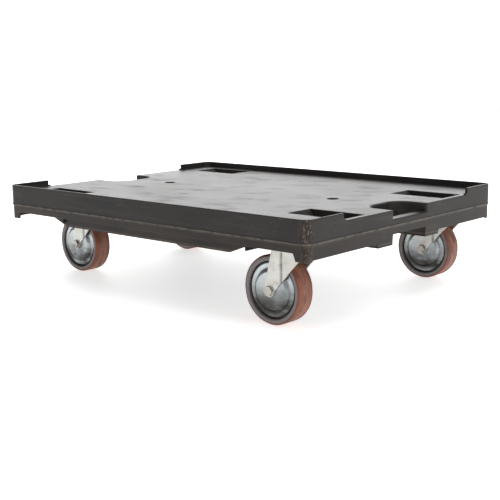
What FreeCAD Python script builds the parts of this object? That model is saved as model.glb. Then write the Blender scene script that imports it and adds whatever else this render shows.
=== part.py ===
import FreeCAD, Part
import math
import os
import Sketcher

# Platform trolley: a two-part moulded platform on four swivel castors.
# Frame: +Z up, wheels on Z = 0, origin under the middle of the platform.
# The wide pair of castors is at the +X end and the narrow pair at the -X end.

SIZES = {
    # platform, overall
    "deck_length": 810,        # outside of the upper walls, along X
    "deck_width": 610,         # outside of the upper walls, along Y
    "corner_round": 16,        # radius of the upright corners
    "seam_rise": 2,            # seam above the castor plates
    "upper_height": 42,        # seam to the top of the rims
    "rim_height": 13,          # rims above the deck
    "rim_wall": 5,
    "rim_edge": 1.5,           # rounding along the top of the rims and the deck
    "deck_skin": 4,
    "upper_wall": 5,
    "bead_height": 2.5,        # weld bead along the seam
    "bead_stand": 1.5,
    # rims on the short sides
    "end_rim": 105,            # length of each short rim, from the corner
    "rim_step": 6,             # low step at the end of each short rim
    "rim_step_height": 2.5,
    # skirt of the lower half
    "skirt_inset": 0.6,        # skirt inside the upper walls, at the seam
    "skirt_draft": 1.5,        # and further inside at the feet
    "skirt_wall": 4,
    "side_depth": 15.5,        # seam to the lower edge of the long sides
    "end_depth": 26.5,         # seam to the lower edge of the short sides
    "foot_depth": 29,          # seam to the bottom of the corner feet
    "foot_length": 24,         # corner feet along X, at their bottom
    "foot_slope": 5,           # further length of the feet at the skirt edge
    "flange_width": 8,         # flange inside the seam
    "flange_skin": 3,
    # keel beams and ribs
    "keel_inset": 10,          # keel beams inside the long sides
    "keel_depth": 32.5,        # seam to the bottom of the keel beams
    "keel_half": 225,          # half length of the flat keel bottom
    "keel_slope": 45,          # length of the slope at each keel end
    "lower_edge": 1,           # rounding along the lower edges
    "rib_wall": 3,
    "rib_depth": 24,           # ribs of the lower half, below the seam
    "deck_rib": 18,            # ribs below the deck
    "rib_pitch": 75,           # cross ribs along X
    "middle_rib": 100,         # lengthwise ribs from the middle, along Y
    "outer_rib": 204,
    # hand recesses in the short sides
    "grip_width": 110,
    "grip_reach": 68,          # recess depth, from the end face
    "grip_round": 34,          # rounding of the recess corners in plan
    "grip_drop": 29,           # grip bar below the rim top
    "grip_bar": 20,            # width of the bar's flat top
    "grip_wall": 4,
    "grip_edge": 5,            # rounded deck edge above the recess
    "bar_edge": 3,
    "ledge_width": 12,         # ledge at the foot of the recess wall
    "ledge_rise": 6,
    # blocks beside the hand recesses
    "block_depth": 35,         # seam to the bottom of the blocks
    "block_width": 45,
    "block_spread": 15,        # further width at the seam
    "block_reach": 72,         # from the skirt inwards
    # wheel pockets in the deck, for a second trolley turned end for end
    "pocket_gap": 5.5,         # pocket radius over the wheel radius
    "pocket_width": 66,
    "pocket_depth": 36,
    "pocket_wall": 4,
    # holes through the deck
    "hole_size": 24,
    "hole_from_end": 177,
    "hole_collar": 3,
    # castor places, from the outside of the upper walls to the pivots
    "narrow_from_end": 109,
    "narrow_from_side": 142,
    "wide_from_end": 73,
    "wide_from_side": 60,
    # castor seats
    "seat_skin": 4,
    "seat_gap": 1.5,           # seat beyond the castor plate, towards the pockets
    "boss_size": 18,
    "boss_height": 26,
    "insert_size": 11,
    "insert_bore": 8.2,
    "insert_height": 17,
    "screw_size": 8,
    "screw_length": 20,
    "screw_head": 5.3,
    "screw_flats": 13,
    # castors
    "wheel_diameter": 125,
    "head_height": 31,         # wheel top to the top of the castor plate
    "trail": 38,
    "plate_length": 105,
    "plate_width": 85,
    "plate_round": 8,
    "plate_skin": 3,
    "bolt_length": 80,         # pitch of the plate's holes, along X
    "bolt_width": 60,
    "bolt_play": 0.6,
    "pin_size": 12,            # kingpin
    "pin_head": 18,
    "pin_head_height": 3.5,
    "pin_gap": 0.3,
    "press_gap": 0.05,         # between pieces that are pressed together
    "ball_gap": 0.35,          # play over and under the balls
    "upper_ball": 6,
    "upper_ring": 54,          # pitch diameter of the upper balls
    "lower_ball": 4.6,
    "lower_ring": 30,
    "cup_size": 42,
    "cup_skin": 3,
    "cup_lip": 2.5,
    # fork
    "fork_skin": 3,
    "fork_inside": 45,         # between the legs
    "crown_size": 75,
    "crown_lip": 4.2,
    "leg_half": 12,            # leg around the axle
    "wing_front": 48,          # front edge, ahead of the axle and above it
    "wing_rise": 41,
    "shoulder_front": 68,
    "shoulder_rise": 61,
    "bend_round": 5,
    # axle
    "axle_size": 10,
    "axle_flats": 16,
    "axle_head": 4.5,
    "axle_play": 0.1,
    "sleeve_size": 15,
    # wheel: black core with a bonded tyre
    "hub_bore": 21.4,
    "hub_size": 34,
    "roller_size": 2.8,
    "roller_length": 30,
    "core_web": 10,
    "core_rim": 90,            # inside of the core's rim
    "core_size": 104,          # outside of the core, under the tyre
    "core_width": 27,
    "tyre_width": 40,
    # thread guards between the hub and the fork legs
    "guard_size": 98,
    "guard_skin": 1.6,
    "guard_gap": 0.5,          # hub to guard, and guard to leg
    "guard_dish": 66,          # diameter of the raised middle
    "guard_cone": 78,          # diameter at the foot of the cone
    "guard_drop": 6,           # raised middle over the flat
    "guard_roll": 1,           # rolled edge, towards the wheel
    "tyre_shoulder": 5,
}

UPPER_BALLS = 22
LOWER_BALLS = 16
ROLLERS = 16

# Heights, from the wheels up
PLATE_Z = "(sizes.wheel_diameter + sizes.head_height)"
SEAM_Z = f"({PLATE_Z} + sizes.seam_rise)"
RIM_Z = f"({SEAM_Z} + sizes.upper_height)"
DECK_Z = f"({RIM_Z} - sizes.rim_height)"
UNDER_Z = f"({DECK_Z} - sizes.deck_skin)"
GRIP_Z = f"({RIM_Z} - sizes.grip_drop)"
SIDE_Z = f"({SEAM_Z} - sizes.side_depth)"
END_Z = f"({SEAM_Z} - sizes.end_depth)"
FOOT_Z = f"({SEAM_Z} - sizes.foot_depth)"
BLOCK_Z = f"({SEAM_Z} - sizes.block_depth)"
KEEL_Z = f"({SEAM_Z} - sizes.keel_depth)"
RIB_Z = f"({SEAM_Z} - sizes.rib_depth)"
AXLE_Z = "(sizes.wheel_diameter / 2)"

# Swivel head, from the plate down
PLATE_LOW = f"({PLATE_Z} - sizes.plate_skin)"
CROWN_TOP = f"({PLATE_LOW} - sizes.upper_ball - 2 * sizes.ball_gap)"
CROWN_LOW = f"({CROWN_TOP} - sizes.fork_skin)"
CUP_TOP = f"({CROWN_LOW} - sizes.lower_ball - 2 * sizes.ball_gap)"
CUP_LOW = f"({CUP_TOP} - sizes.cup_skin)"

# Inner face of each guard, from the middle of the wheel
GUARD_IN = "(sizes.fork_inside / 2 - sizes.guard_skin - sizes.press_gap)"

# Platform outlines, from the middle out
HALF_X = "(sizes.deck_length / 2)"
HALF_Y = "(sizes.deck_width / 2)"
INNER_X = f"({HALF_X} - sizes.upper_wall)"
INNER_Y = f"({HALF_Y} - sizes.upper_wall)"
SKIRT_X = f"({HALF_X} - sizes.skirt_inset)"
SKIRT_Y = f"({HALF_Y} - sizes.skirt_inset)"
SKIRT_IN_X = f"({SKIRT_X} - sizes.skirt_draft - sizes.skirt_wall)"
SKIRT_IN_Y = f"({SKIRT_Y} - sizes.skirt_draft - sizes.skirt_wall)"
BEYOND = 20        # how far a cutting tool runs past what it cuts
NEAR = 0.02        # edges this close to a level lie on it

# Castor pivots: name, place along X and Y, which end it is at
NARROW_X = f"({HALF_X} - sizes.narrow_from_end)"
NARROW_Y = f"({HALF_Y} - sizes.narrow_from_side)"
WIDE_X = f"({HALF_X} - sizes.wide_from_end)"
WIDE_Y = f"({HALF_Y} - sizes.wide_from_side)"
CASTORS = {
    "narrow_left": (f"-{NARROW_X}", NARROW_Y),
    "narrow_right": (f"-{NARROW_X}", f"-{NARROW_Y}"),
    "wide_left": (WIDE_X, WIDE_Y),
    "wide_right": (WIDE_X, f"-{WIDE_Y}"),
}

doc = FreeCAD.newDocument("platform_trolley")
sheet = doc.addObject("Spreadsheet::Sheet", "sizes")
finished = []


def fill_sheet():
    for row, (name, value) in enumerate(SIZES.items(), start=1):
        sheet.set(f"A{row}", name)
        sheet.set(f"B{row}", str(value))
        sheet.setAlias(f"B{row}", name)
    doc.recompute()


def finish(thing, label):
    thing.Label = label
    finished.append(thing)


def bind(thing, formulas):
    for name, formula in formulas.items():
        thing.setExpression(name, formula)


def mirrored(side, low, high):
    # The same stretch on the plus or the minus side of the middle
    if side > 0:
        return (low, high)
    return (f"-({high})", f"-({low})")


def turned_side(side, formula):
    return formula if side > 0 else f"-({formula})"


# Primitives and booleans

def place(thing, x, y, z):
    bind(thing, {"Placement.Base.x": x, "Placement.Base.y": y, "Placement.Base.z": z})


def block(name, x, y, z):
    box = doc.addObject("Part::Box", name)
    sides = {"Length": x, "Width": y, "Height": z}
    bind(box, {side: f"({high}) - ({low})" for side, (low, high) in sides.items()})
    place(box, x[0], y[0], z[0])
    return box


def tapered(name, low, high, z):
    # A block whose bottom rectangle and top rectangle differ: (x0, x1, y0, y1)
    wedge = doc.addObject("Part::Wedge", name)
    wedge.Placement = FreeCAD.Placement(FreeCAD.Vector(), FreeCAD.Rotation(FreeCAD.Vector(1, 0, 0), 90))
    bind(wedge, {
        "Xmin": low[0], "Xmax": low[1], "Zmin": f"-({low[3]})", "Zmax": f"-({low[2]})",
        "X2min": high[0], "X2max": high[1], "Z2min": f"-({high[3]})", "Z2max": f"-({high[2]})",
        "Ymin": z[0], "Ymax": z[1],
    })
    return wedge


def rod(name, radius, x, y, z):
    cylinder = doc.addObject("Part::Cylinder", name)
    bind(cylinder, {"Radius": radius, "Height": f"({z[1]}) - ({z[0]})"})
    place(cylinder, x, y, z[0])
    return cylinder


def cross_rod(name, radius, x, y, z):
    # A cylinder along Y
    cylinder = doc.addObject("Part::Cylinder", name)
    cylinder.Placement = FreeCAD.Placement(FreeCAD.Vector(), FreeCAD.Rotation(FreeCAD.Vector(1, 0, 0), -90))
    bind(cylinder, {"Radius": radius, "Height": f"({y[1]}) - ({y[0]})"})
    place(cylinder, x, y[0], z)
    return cylinder


def joined(name, pieces):
    whole = doc.addObject("Part::MultiFuse", name)
    whole.Shapes = pieces
    whole.Refine = True
    return whole


def shared(name, pieces):
    overlap = doc.addObject("Part::MultiCommon", name)
    overlap.Shapes = pieces
    return overlap


def cut(name, base, tools):
    rest = doc.addObject("Part::Cut", name)
    rest.Base = base
    rest.Tool = tools[0] if len(tools) == 1 else joined(name + "_tools", tools)
    rest.Refine = True
    return rest


def group(name, pieces):
    compound = doc.addObject("Part::Compound", name)
    compound.Links = pieces
    return compound


def edges_in(shape, low, high, level=None, longest=1e6):
    # Numbers of the edges that lie inside a box given for the plus side and mirrored about both middles
    numbers = []
    for number, edge in enumerate(shape.Edges, start=1):
        box = edge.BoundBox
        near_x, far_x = sorted((abs(box.XMin), abs(box.XMax)))
        near_y, far_y = sorted((abs(box.YMin), abs(box.YMax)))
        inside = near_x > low[0] and far_x < high[0] and near_y > low[1] and far_y < high[1]
        flat = level is None or max(abs(box.ZMin - level), abs(box.ZMax - level)) < NEAR
        if inside and flat and box.DiagonalLength < longest:
            numbers.append(number)
    return numbers


def rounded(name, base, radius, low, high, level=None, longest=1e6):
    doc.recompute()
    fillet = doc.addObject("Part::Fillet", name)
    fillet.Base = base
    numbers = edges_in(base.Shape, low, high, level, longest)
    fillet.Edges = [(number, radius, radius) for number in numbers]
    return fillet


# Bodies, sketches and features

def origin_plane(body, role):
    return next(plane for plane in body.Origin.OriginFeatures if plane.Role == role)


def new_sketch(body, name, role="XY_Plane", offset=None):
    sketch = body.newObject("Sketcher::SketchObject", name)
    sketch.AttachmentSupport = [(origin_plane(body, role), "")]
    sketch.MapMode = "FlatFace"
    if offset:
        sketch.setExpression("AttachmentOffset.Base.z", offset)
    return sketch


def drive(sketch, kind, *args):
    # A dimension whose value comes from the sheet: the last two arguments are a start value and a formula
    number = sketch.addConstraint(Sketcher.Constraint(kind, *args[:-1]))
    sketch.setExpression(f"Constraints[{number}]", args[-1])


def polygon(sketch, points):
    first = sketch.GeometryCount
    count = len(points)
    turn = 2 * math.pi / count
    start = [FreeCAD.Vector(math.cos(turn * k), math.sin(turn * k), 0) for k in range(count)]
    for k in range(count):
        sketch.addGeometry(Part.LineSegment(start[k], start[(k + 1) % count]), False)
    for k in range(count):
        sketch.addConstraint(Sketcher.Constraint("Coincident", first + k, 2, first + (k + 1) % count, 1))
    for k, (across, up) in enumerate(points):
        drive(sketch, "DistanceX", -1, 1, first + k, 1, start[k].x, across)
        drive(sketch, "DistanceY", -1, 1, first + k, 1, start[k].y, up)


def rectangle(sketch, x, y):
    polygon(sketch, [(x[0], y[0]), (x[1], y[0]), (x[1], y[1]), (x[0], y[1])])


def circle(sketch, across, up, radius):
    number = sketch.addGeometry(Part.Circle(FreeCAD.Vector(0, 0, 0), FreeCAD.Vector(0, 0, 1), 1), False)
    drive(sketch, "Radius", number, 1, radius)
    drive(sketch, "DistanceX", -1, 1, number, 3, 0, across)
    drive(sketch, "DistanceY", -1, 1, number, 3, 0, up)


def pad(body, sketch, length, both_ways=False):
    feature = body.newObject("PartDesign::Pad", "pad")
    feature.Profile = sketch
    feature.SideType = "Symmetric" if both_ways else "One side"
    feature.setExpression("Length", length)
    return feature


def pocket(body, sketch, length, both_ways=False):
    feature = body.newObject("PartDesign::Pocket", "pocket")
    feature.Profile = sketch
    feature.SideType = "Symmetric" if both_ways else "One side"
    feature.setExpression("Length", length)
    return feature


def turn(body, sketch, axis):
    feature = body.newObject("PartDesign::Revolution", "turn")
    feature.Profile = sketch
    feature.ReferenceAxis = (sketch, [axis])
    feature.Angle = 360
    return feature


def round_edges(body, base, radius, wanted):
    doc.recompute()
    names = [f"Edge{k}" for k, edge in enumerate(base.Shape.Edges, start=1) if wanted(edge)]
    fillet = body.newObject("PartDesign::Fillet", "round")
    fillet.Base = (base, names)
    fillet.setExpression("Radius", radius)
    doc.recompute()
    return fillet


def upright(edge):
    box = edge.BoundBox
    return box.ZLength > 1 and box.XLength < 1e-4 and box.YLength < 1e-4


def rounded_slab(name, half_x, half_y, radius, z):
    body = doc.addObject("PartDesign::Body", name)
    sketch = new_sketch(body, name + "_outline", "XY_Plane", z[0])
    rectangle(sketch, (f"-{half_x}", half_x), (f"-{half_y}", half_y))
    slab = pad(body, sketch, f"({z[1]}) - ({z[0]})")
    round_edges(body, slab, radius, upright)
    return body


# Upper half of the platform

def deck_walls():
    outside = rounded_slab("upper_outside", HALF_X, HALF_Y, "sizes.corner_round", (SEAM_Z, RIM_Z))
    inner_round = "sizes.corner_round - sizes.rim_wall"
    rim_x = f"({HALF_X} - sizes.rim_wall)"
    rim_y = f"({HALF_Y} - sizes.rim_wall)"
    above = rounded_slab("above_deck", rim_x, rim_y, inner_round, (DECK_Z, f"{RIM_Z} + {BEYOND}"))
    below = rounded_slab("below_deck", INNER_X, INNER_Y, inner_round, (f"{SEAM_Z} - {BEYOND}", UNDER_Z))
    return cut("deck_walls", outside, [above, below] + end_openings())


def end_openings():
    # The short sides have rims only near the corners, each with a low step at its end
    openings = []
    for end in (1, -1):
        along = mirrored(end, f"{INNER_X} - {BEYOND}", f"{HALF_X} + {BEYOND}")
        clear = f"({HALF_Y} - sizes.end_rim)"
        step = f"({clear} + sizes.rim_step)"
        step_z = f"{DECK_Z} + sizes.rim_step_height"
        openings.append(block("end_opening", along, (f"-{clear}", clear), (DECK_Z, f"{RIM_Z} + {BEYOND}")))
        openings.append(block("end_step", along, (f"-{step}", step), (step_z, f"{RIM_Z} + {BEYOND}")))
    return openings


def seam_bead():
    low = SEAM_Z
    high = f"{SEAM_Z} + sizes.bead_height"
    round_out = "sizes.corner_round + sizes.bead_stand"
    out_x = f"({HALF_X} + sizes.bead_stand)"
    out_y = f"({HALF_Y} + sizes.bead_stand)"
    outside = rounded_slab("bead_outside", out_x, out_y, round_out, (low, high))
    doc.recompute()
    soft = round_edges(outside, outside.Tip, "sizes.bead_height * 0.4", lambda edge: not upright(edge))
    outside.Tip = soft
    inside = rounded_slab("bead_inside", INNER_X, INNER_Y, "sizes.corner_round - sizes.upper_wall",
                          (f"{SEAM_Z} - {BEYOND}", f"{RIM_Z} + {BEYOND}"))
    return cut("seam_bead", outside, [inside])


def deck_ribs():
    ribs = []
    low = f"({UNDER_Z} - sizes.deck_rib)"
    half = "sizes.rib_wall / 2"
    for place_y in ("sizes.middle_rib", "-sizes.middle_rib"):
        ribs.append(block("long_rib", (f"-{INNER_X}", INNER_X), (f"{place_y} - {half}", f"{place_y} + {half}"),
                          (low, UNDER_Z)))
    for number in range(-3, 4):
        place_x = f"({number} * sizes.rib_pitch)"
        ribs.append(block("cross_rib", (f"{place_x} - {half}", f"{place_x} + {half}"), (f"-{INNER_Y}", INNER_Y),
                          (low, UNDER_Z)))
    for place_y in ("sizes.outer_rib", "-sizes.outer_rib"):
        reach = "(3 * sizes.rib_pitch)"
        ribs.append(block("outer_rib", (f"-{reach}", reach), (f"{place_y} - {half}", f"{place_y} + {half}"),
                          (low, UNDER_Z)))
    return ribs


def pocket_places():
    # The second trolley stands turned end for end, with its wheels trailing towards its own middle or end
    narrow = f"({NARROW_X} + sizes.trail)"
    wide = f"-({WIDE_X} - sizes.trail)"
    for side in (1, -1):
        yield narrow, turned_side(side, NARROW_Y)
        yield wide, turned_side(side, WIDE_Y)


def wheel_pockets():
    radius = f"({AXLE_Z} + sizes.pocket_gap)"
    centre_z = f"({DECK_Z} - sizes.pocket_depth + {radius})"
    half = "sizes.pocket_width / 2"
    housings = []
    hollows = []
    for x, y in pocket_places():
        wide = (f"{y} - {half} - sizes.pocket_wall", f"{y} + {half} + sizes.pocket_wall")
        shell = cross_rod("pocket_shell", f"{radius} + sizes.pocket_wall", x, wide, centre_z)
        reach = f"({radius} + sizes.pocket_wall)"
        limit = block("pocket_limit", (f"{x} - {reach}", f"{x} + {reach}"), wide,
                      (f"{centre_z} - {reach}", f"{UNDER_Z} + sizes.deck_skin / 2"))
        housings.append(shared("pocket_housing", [shell, limit]))
        hollows.append(cross_rod("pocket_hollow", radius, x, (f"{y} - {half}", f"{y} + {half}"), centre_z))
    return housings, hollows


def grip_slab(name, end, inset, z):
    # Plan of a hand recess: open at the end face, rounded towards the middle
    body = doc.addObject("PartDesign::Body", name)
    sketch = new_sketch(body, name + "_plan", "XY_Plane", z[0])
    x = mirrored(end, f"{HALF_X} - sizes.grip_reach + {inset}", f"{HALF_X} + {BEYOND}")
    half = f"(sizes.grip_width / 2 - {inset})"
    rectangle(sketch, x, (f"-{half}", half))
    slab = pad(body, sketch, f"({z[1]}) - ({z[0]})")
    inner = SIZES["deck_length"] / 2

    def towards_middle(edge):
        return upright(edge) and abs(edge.BoundBox.XMin) < inner

    round_edges(body, slab, f"sizes.grip_round - {inset}", towards_middle)
    return body


def hand_recess(end):
    # Returns what the recess adds to the deck and what it takes away
    wall = grip_slab("recess_wall", end, "(-sizes.grip_wall)", (SEAM_Z, f"{UNDER_Z} + sizes.deck_skin / 2"))
    end_limit = block("recess_limit", (f"-{INNER_X} - 1", f"{INNER_X} + 1"), (f"-{HALF_Y}", HALF_Y),
                      (SEAM_Z, RIM_Z))
    added = shared("recess_shell", [wall, end_limit])
    opening = grip_slab("recess_opening", end, "0", (GRIP_Z, f"{RIM_Z} + {BEYOND}"))
    bar_face = f"({HALF_X} - sizes.grip_bar)"
    slot_back = f"({HALF_X} - sizes.grip_reach + sizes.ledge_width)"
    half = "(sizes.grip_width / 2)"
    slot = block("finger_slot", mirrored(end, slot_back, bar_face), (f"-{half}", half),
                 (f"{SEAM_Z} - {BEYOND}", f"{GRIP_Z} + 1"))
    over_ledge = block("over_ledge", mirrored(end, f"{slot_back} - sizes.ledge_width", bar_face), (f"-{half}", half),
                       (f"{SEAM_Z} + sizes.ledge_rise", f"{GRIP_Z} + 1"))
    plan = grip_slab("recess_plan", end, "0", (f"{SEAM_Z} - {BEYOND}", f"{GRIP_Z} + 1"))
    under_bar = block("under_bar", mirrored(end, f"{bar_face} + sizes.grip_wall", INNER_X),
                      (f"-{half} + sizes.grip_wall", f"{half} - sizes.grip_wall"),
                      (f"{SEAM_Z} - {BEYOND}", f"{GRIP_Z} - sizes.grip_wall"))
    space = shared("recess_space", [joined("recess_boxes", [slot, over_ledge]), plan])
    return added, [opening, space, under_bar]


def deck_shell():
    housings, hollows = wheel_pockets()
    added = [deck_walls(), seam_bead()] + housings + deck_ribs()
    taken = list(hollows)
    for end in (1, -1):
        shell, spaces = hand_recess(end)
        added.append(shell)
        taken += spaces
        hole_x = turned_side(end, f"({HALF_X} - sizes.hole_from_end)")
        added.append(rod("hole_collar", "sizes.hole_size / 2 + sizes.hole_collar", hole_x, "0",
                         (f"{UNDER_Z} - sizes.deck_rib", UNDER_Z)))
        taken.append(rod("deck_hole", "sizes.hole_size / 2", hole_x, "0", (f"{SEAM_Z} - {BEYOND}", RIM_Z)))
    whole = cut("deck_cut", joined("deck_whole", added), taken)
    finish(deck_edges(whole), "deck_shell")


def deck_edges(whole):
    # Rim tops, deck edges, pockets, recesses and steps are rounded in turn
    half_x = SIZES["deck_length"] / 2
    half_y = SIZES["deck_width"] / 2
    out = (half_x + 2, half_y + 2)
    rim_z = SIZES["wheel_diameter"] + SIZES["head_height"] + SIZES["seam_rise"] + SIZES["upper_height"]
    deck_z = rim_z - SIZES["rim_height"]
    grip = SIZES["grip_width"] / 2
    recess = (half_x - SIZES["grip_reach"] - NEAR, -1)
    pocket_x = half_x - SIZES["wide_from_end"] - SIZES["trail"] - SIZES["wheel_diameter"]
    pocket_y = half_y - SIZES["narrow_from_side"] - SIZES["pocket_width"]
    wall = SIZES["upper_wall"]
    edge = SIZES["rim_edge"]
    hole_x = half_x - SIZES["hole_from_end"] - SIZES["hole_size"]
    deck = rounded("rim_tops", whole, edge, (-1, -1), out, rim_z)
    deck = rounded("end_edges", deck, edge, (half_x - NEAR, -1), out, deck_z)
    deck = rounded("recess_edges", deck, SIZES["grip_edge"], recess, (half_x + NEAR, grip + NEAR), deck_z)
    bar_z = rim_z - SIZES["grip_drop"]
    for bar_x in (half_x, half_x - SIZES["grip_bar"]):
        deck = rounded("bar_edge", deck, SIZES["bar_edge"], (bar_x - NEAR, -1), (bar_x + NEAR, grip + NEAR), bar_z)
    deck = rounded("pocket_edges", deck, edge, (pocket_x, pocket_y), (half_x - wall, half_y - wall - edge),
                   deck_z, 2 * SIZES["wheel_diameter"])
    deck = rounded("hole_edges", deck, edge, (hole_x, -1), (half_x, SIZES["hole_size"]), deck_z,
                   2 * SIZES["hole_size"])
    return deck


# Lower half of the platform

def skirt():
    low_x = f"({SKIRT_X} - sizes.skirt_draft)"
    low_y = f"({SKIRT_Y} - sizes.skirt_draft)"
    outside = tapered("skirt_outside", (f"-{low_x}", low_x, f"-{low_y}", low_y),
                      (f"-{SKIRT_X}", SKIRT_X, f"-{SKIRT_Y}", SKIRT_Y), (FOOT_Z, SEAM_Z))
    corners = rounded_slab("skirt_corners", SKIRT_X, SKIRT_Y, "sizes.corner_round", (FOOT_Z, SEAM_Z))
    inside = rounded_slab("skirt_inside", SKIRT_IN_X, SKIRT_IN_Y, "sizes.corner_round - sizes.skirt_wall",
                          (f"{FOOT_Z} - {BEYOND}", f"{SEAM_Z} + {BEYOND}"))
    wall = cut("skirt_wall", shared("skirt_form", [outside, corners]), [inside])
    return cut("skirt", wall, skirt_windows())


def skirt_windows():
    foot_x = f"({SKIRT_X} - sizes.skirt_draft - sizes.foot_length)"
    edge_x = f"({foot_x} - sizes.foot_slope)"
    far_y = f"({HALF_Y} + {BEYOND})"
    side = tapered("side_window", (f"-{foot_x}", foot_x, f"-{far_y}", far_y),
                   (f"-{edge_x}", edge_x, f"-{far_y}", far_y), (FOOT_Z, SIDE_Z))
    far_x = f"({HALF_X} + {BEYOND})"
    edge_y = f"({SKIRT_Y} - sizes.corner_round)"
    end = block("end_window", (f"-{far_x}", far_x), (f"-{edge_y}", edge_y), (f"{FOOT_Z} - {BEYOND}", END_Z))
    half = "sizes.grip_width / 2"
    grip = block("grip_window", (f"-{far_x}", far_x), (f"-({half})", half), (f"{FOOT_Z} - {BEYOND}", SIDE_Z))
    return [side, end, grip]


def seam_flange():
    outside = rounded_slab("flange_outside", f"({SKIRT_X} - 1)", f"({SKIRT_Y} - 1)", "sizes.corner_round",
                           (f"{SEAM_Z} - sizes.flange_skin", SEAM_Z))
    inside = rounded_slab("flange_inside", f"({SKIRT_IN_X} - sizes.flange_width)",
                          f"({SKIRT_IN_Y} - sizes.flange_width)", "sizes.skirt_wall",
                          (f"{SEAM_Z} - {BEYOND}", f"{SEAM_Z} + {BEYOND}"))
    gaps = []
    for end in (1, -1):
        x = mirrored(end, f"{HALF_X} - sizes.grip_bar", SKIRT_IN_X)
        gaps.append(block("grip_gap", x, ("-sizes.grip_width / 2", "sizes.grip_width / 2"),
                          (f"{SEAM_Z} - {BEYOND}", f"{SEAM_Z} + {BEYOND}")))
    return cut("seam_flange", outside, [inside] + gaps)


def keel_beams():
    beams = []
    end = "(sizes.keel_half + sizes.keel_slope)"
    for side in (1, -1):
        y = mirrored(side, f"{HALF_Y} - sizes.keel_inset - sizes.skirt_wall", f"{HALF_Y} - sizes.keel_inset")
        beams.append(tapered("keel_slope", ("-sizes.keel_half", "sizes.keel_half", y[0], y[1]),
                             (f"-{end}", end, y[0], y[1]), (KEEL_Z, SIDE_Z)))
        beams.append(block("keel_web", (f"-{end}", end), y, (SIDE_Z, SEAM_Z)))
    return beams


def lower_ribs():
    ribs = []
    half = "sizes.rib_wall / 2"
    near = f"(-{NARROW_X} + sizes.plate_length / 2 + 12)"
    far = f"({WIDE_X} - sizes.plate_length / 2 - 12)"
    for side in (1, -1):
        y = turned_side(side, "sizes.middle_rib")
        ribs.append(block("middle_rib", (f"-{SKIRT_IN_X} - 1", f"{SKIRT_IN_X} + 1"), (f"{y} - {half}", f"{y} + {half}"),
                          (RIB_Z, SEAM_Z)))
        y = turned_side(side, "sizes.outer_rib")
        ribs.append(block("outer_rib", (near, far), (f"{y} - {half}", f"{y} + {half}"), (RIB_Z, SEAM_Z)))
    across = (f"-{SKIRT_IN_Y} - 1", f"{SKIRT_IN_Y} + 1")
    for x in (near, far):
        ribs.append(block("end_rib", (f"{x} - {half}", f"{x} + {half}"), across, (RIB_Z, SEAM_Z)))
    keel = (f"-{HALF_Y} + sizes.keel_inset + 1", f"{HALF_Y} - sizes.keel_inset - 1")
    for number in range(-2, 3):
        x = f"({number} * sizes.rib_pitch)"
        ribs.append(block("keel_rib", (f"{x} - {half}", f"{x} + {half}"), keel, (RIB_Z, SEAM_Z)))
    return ribs


def castor_seats():
    seats = []
    top = f"{PLATE_Z} + sizes.seat_skin"
    half_width = "(sizes.plate_width / 2 + sizes.seat_gap)"
    inner_x = "(sizes.plate_length / 2 + 12)"
    for side in (1, -1):
        narrow_y = mirrored(side, f"min(sizes.middle_rib; {NARROW_Y} - {half_width})", f"{NARROW_Y} + {half_width}")
        seats.append(block("narrow_seat", (f"-{SKIRT_IN_X} - 1", f"-{NARROW_X} + {inner_x}"), narrow_y,
                           (PLATE_Z, top)))
        wide_y = mirrored(side, f"{WIDE_Y} - {half_width}", f"{SKIRT_IN_Y} + 1")
        seats.append(block("wide_seat", (f"{WIDE_X} - {inner_x}", f"{SKIRT_IN_X} + 1"), wide_y, (PLATE_Z, top)))
    limit = rounded_slab("seat_limit", f"({SKIRT_IN_X} + 1)", f"({SKIRT_IN_Y} + 1)", "sizes.corner_round",
                         (PLATE_Z, top))
    return [shared("castor_seats", [joined("seat_plates", seats), limit])]


def grip_blocks():
    solid = []
    hollow = []
    for end in (1, -1):
        for side in (1, -1):
            low_y = mirrored(side, "sizes.grip_width / 2", "sizes.grip_width / 2 + sizes.block_width")
            high_y = mirrored(side, "sizes.grip_width / 2",
                              "sizes.grip_width / 2 + sizes.block_width + sizes.block_spread")
            x = mirrored(end, f"{SKIRT_X} - sizes.skirt_draft - sizes.block_reach", f"{SKIRT_X} - sizes.skirt_draft")
            solid.append(tapered("grip_block", (*x, *low_y), (*x, *high_y), (BLOCK_Z, SEAM_Z)))
            wall = "sizes.skirt_wall"
            inside_x = (f"{x[0]} + {wall}", f"{x[1]} - {wall}")
            inside_low = (f"{low_y[0]} + {wall}", f"{low_y[1]} - {wall}")
            inside_high = (f"{high_y[0]} + {wall}", f"{high_y[1]} - {wall}")
            hollow.append(tapered("block_hollow", (*inside_x, *inside_low), (*inside_x, *inside_high),
                                  (f"{BLOCK_Z} + {wall}", f"{SEAM_Z}")))
    return cut("grip_blocks", joined("block_solids", solid), hollow)


def screw_places(castor):
    x, y = CASTORS[castor]
    for along in (1, -1):
        for across in (1, -1):
            yield (f"({x} + {along} * sizes.bolt_length / 2)", f"({y} + {across} * sizes.bolt_width / 2)")


def all_screw_places():
    return [place for castor in CASTORS for place in screw_places(castor)]


def base_shell():
    added = [skirt(), seam_flange(), grip_blocks()]
    added += keel_beams() + lower_ribs() + castor_seats()
    taken = []
    for x, y in all_screw_places():
        added.append(rod("boss", "sizes.boss_size / 2", x, y, (PLATE_Z, f"{PLATE_Z} + sizes.boss_height")))
        taken.append(rod("boss_bore", "sizes.insert_size / 2 + sizes.press_gap", x, y,
                         (f"{PLATE_Z} - 1", f"{PLATE_Z} + sizes.screw_length")))
    finish(base_edges(cut("base_cut", joined("base_whole", added), taken)), "base_shell")


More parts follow.
